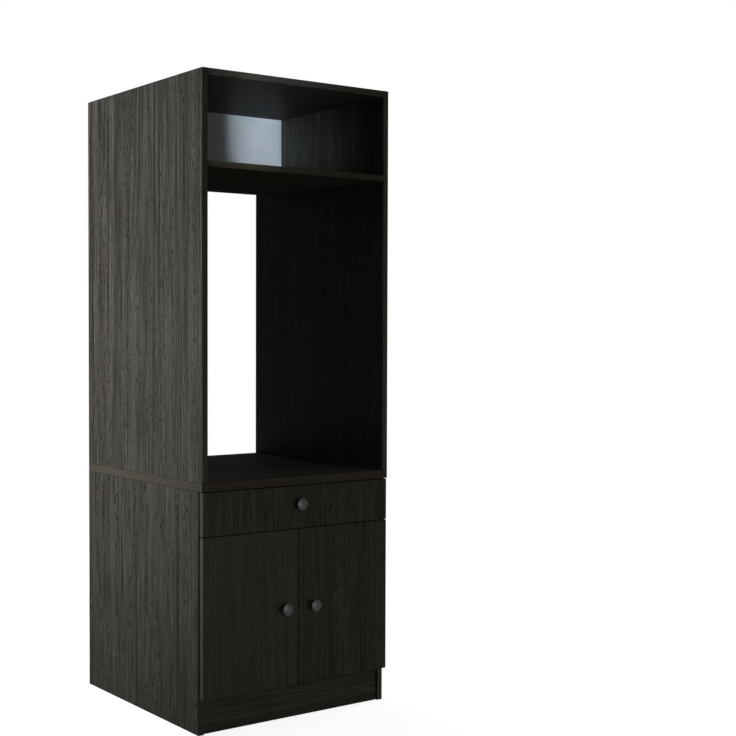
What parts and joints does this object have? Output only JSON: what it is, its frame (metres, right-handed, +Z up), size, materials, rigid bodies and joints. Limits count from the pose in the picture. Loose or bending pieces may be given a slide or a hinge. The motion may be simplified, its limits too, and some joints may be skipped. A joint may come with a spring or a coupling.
{
  "type": "washing machine cabinet",
  "caption": "Tall free-standing utility cabinet: an open-backed niche for a washing machine on a worktop, an open compartment above it, and a base with a drawer and two doors",
  "frame": {"origin": "on the floor, under the middle of the whole part, knobs included", "axes": "+Z up, +X to the right as seen from the front, the doors and the drawer face -Y"},
  "size_m": [0.66, 0.682, 1.83],
  "materials": {
    "wenge_melamine": "dark wenge melamine with fine upright grain, satin",
    "white_hardboard": "thin hardboard with a smooth white face",
    "drawer_melamine": "white melamine with a fine pearl grain",
    "zinc_plated_steel": "bright zinc plate",
    "bronzed_zinc_alloy": "dark bronze plate on cast zinc alloy",
    "slide_steel": "rolled steel strip with zinc plate",
    "bearing_steel": "polished balls in a pressed strip",
    "nickel_plated_steel": "nickel plate on pressed steel",
    "knob_metal": "gunmetal grey, satin",
    "beech": "raw beech, fluted"
  },
  "bodies": {
    "carcass": {"base_side_left": "wenge_melamine", "base_side_right": "wenge_melamine", "base_floor": "wenge_melamine", "plinth": "wenge_melamine", "middle_rail": "wenge_melamine", "rear_rail": "wenge_melamine", "worktop": "wenge_melamine", "upper_side_left": "wenge_melamine", "upper_side_right": "wenge_melamine", "compartment_shelf": "wenge_melamine", "top_panel": "wenge_melamine", "base_back": "white_hardboard", "compartment_back": "white_hardboard", "cam_housings": "bronzed_zinc_alloy", "cam_bolts": "zinc_plated_steel", "slide_outer_screws": "zinc_plated_steel", "hinge_plate_screws": "zinc_plated_steel", "hinge_arm_screws": "zinc_plated_steel", "slide_outer_left": "slide_steel", "slide_outer_right": "slide_steel", "hinge_arm_left_lower": "nickel_plated_steel", "hinge_arm_left_upper": "nickel_plated_steel", "hinge_arm_right_lower": "nickel_plated_steel", "hinge_arm_right_upper": "nickel_plated_steel", "hinge_plate_left_lower": "nickel_plated_steel", "hinge_plate_left_upper": "nickel_plated_steel", "hinge_plate_right_lower": "nickel_plated_steel", "hinge_plate_right_upper": "nickel_plated_steel", "dowels": "beech"},
    "drawer": {"drawer_front": "wenge_melamine", "drawer_box_front": "drawer_melamine", "drawer_side_left": "drawer_melamine", "drawer_side_right": "drawer_melamine", "drawer_back": "drawer_melamine", "drawer_bottom": "white_hardboard", "drawer_box_screws": "zinc_plated_steel", "drawer_front_screws": "zinc_plated_steel", "drawer_knob": "knob_metal", "drawer_knob_screw": "zinc_plated_steel", "slide_inner_left": "slide_steel", "slide_inner_right": "slide_steel", "slide_inner_screws": "zinc_plated_steel"},
    "slide_middle_left": {"slide_middle_left": "slide_steel"},
    "outer_ball_cage_left": {"outer_ball_cage_left": "bearing_steel"},
    "inner_ball_cage_left": {"inner_ball_cage_left": "bearing_steel"},
    "slide_middle_right": {"slide_middle_right": "slide_steel"},
    "outer_ball_cage_right": {"outer_ball_cage_right": "bearing_steel"},
    "inner_ball_cage_right": {"inner_ball_cage_right": "bearing_steel"},
    "door_left": {"door_left": "wenge_melamine", "door_knob_left": "knob_metal", "door_knob_screw_left": "zinc_plated_steel", "hinge_cup_left_lower": "nickel_plated_steel", "hinge_cup_left_upper": "nickel_plated_steel", "hinge_cup_screws_left": "zinc_plated_steel"},
    "door_right": {"door_right": "wenge_melamine", "door_knob_right": "knob_metal", "door_knob_screw_right": "zinc_plated_steel", "hinge_cup_right_lower": "nickel_plated_steel", "hinge_cup_right_upper": "nickel_plated_steel", "hinge_cup_screws_right": "zinc_plated_steel"}
  },
  "joints": [
    {"name": "drawer_slide", "type": "slide", "parent": "carcass", "child": "drawer", "axis": [0, -1, 0], "range_m": [0, 0.5]},
    {"name": "slide_middle_left_run", "type": "slide", "parent": "carcass", "child": "slide_middle_left", "axis": [0, -1, 0], "range_m": [0, 0.25]},
    {"name": "outer_ball_cage_left_run", "type": "slide", "parent": "carcass", "child": "outer_ball_cage_left", "axis": [0, -1, 0], "range_m": [0, 0.125]},
    {"name": "inner_ball_cage_left_run", "type": "slide", "parent": "carcass", "child": "inner_ball_cage_left", "axis": [0, -1, 0], "range_m": [0, 0.375]},
    {"name": "slide_middle_right_run", "type": "slide", "parent": "carcass", "child": "slide_middle_right", "axis": [0, -1, 0], "range_m": [0, 0.25]},
    {"name": "outer_ball_cage_right_run", "type": "slide", "parent": "carcass", "child": "outer_ball_cage_right", "axis": [0, -1, 0], "range_m": [0, 0.125]},
    {"name": "inner_ball_cage_right_run", "type": "slide", "parent": "carcass", "child": "inner_ball_cage_right", "axis": [0, -1, 0], "range_m": [0, 0.375]},
    {"name": "door_left_hinge", "type": "hinge", "parent": "carcass", "child": "door_left", "pos_m": [-0.321, -0.314, 0.325], "axis": [0, 0, -1], "range_deg": [0, 105]},
    {"name": "door_right_hinge", "type": "hinge", "parent": "carcass", "child": "door_right", "pos_m": [0.321, -0.314, 0.325], "axis": [0, 0, 1], "range_deg": [0, 105]}
  ],
  "couplings": [
    {"joint": "slide_middle_left_run", "follows": "drawer_slide", "ratio": 0.5},
    {"joint": "outer_ball_cage_left_run", "follows": "drawer_slide", "ratio": 0.25},
    {"joint": "inner_ball_cage_left_run", "follows": "drawer_slide", "ratio": 0.75},
    {"joint": "slide_middle_right_run", "follows": "drawer_slide", "ratio": 0.5},
    {"joint": "outer_ball_cage_right_run", "follows": "drawer_slide", "ratio": 0.25},
    {"joint": "inner_ball_cage_right_run", "follows": "drawer_slide", "ratio": 0.75}
  ]
}
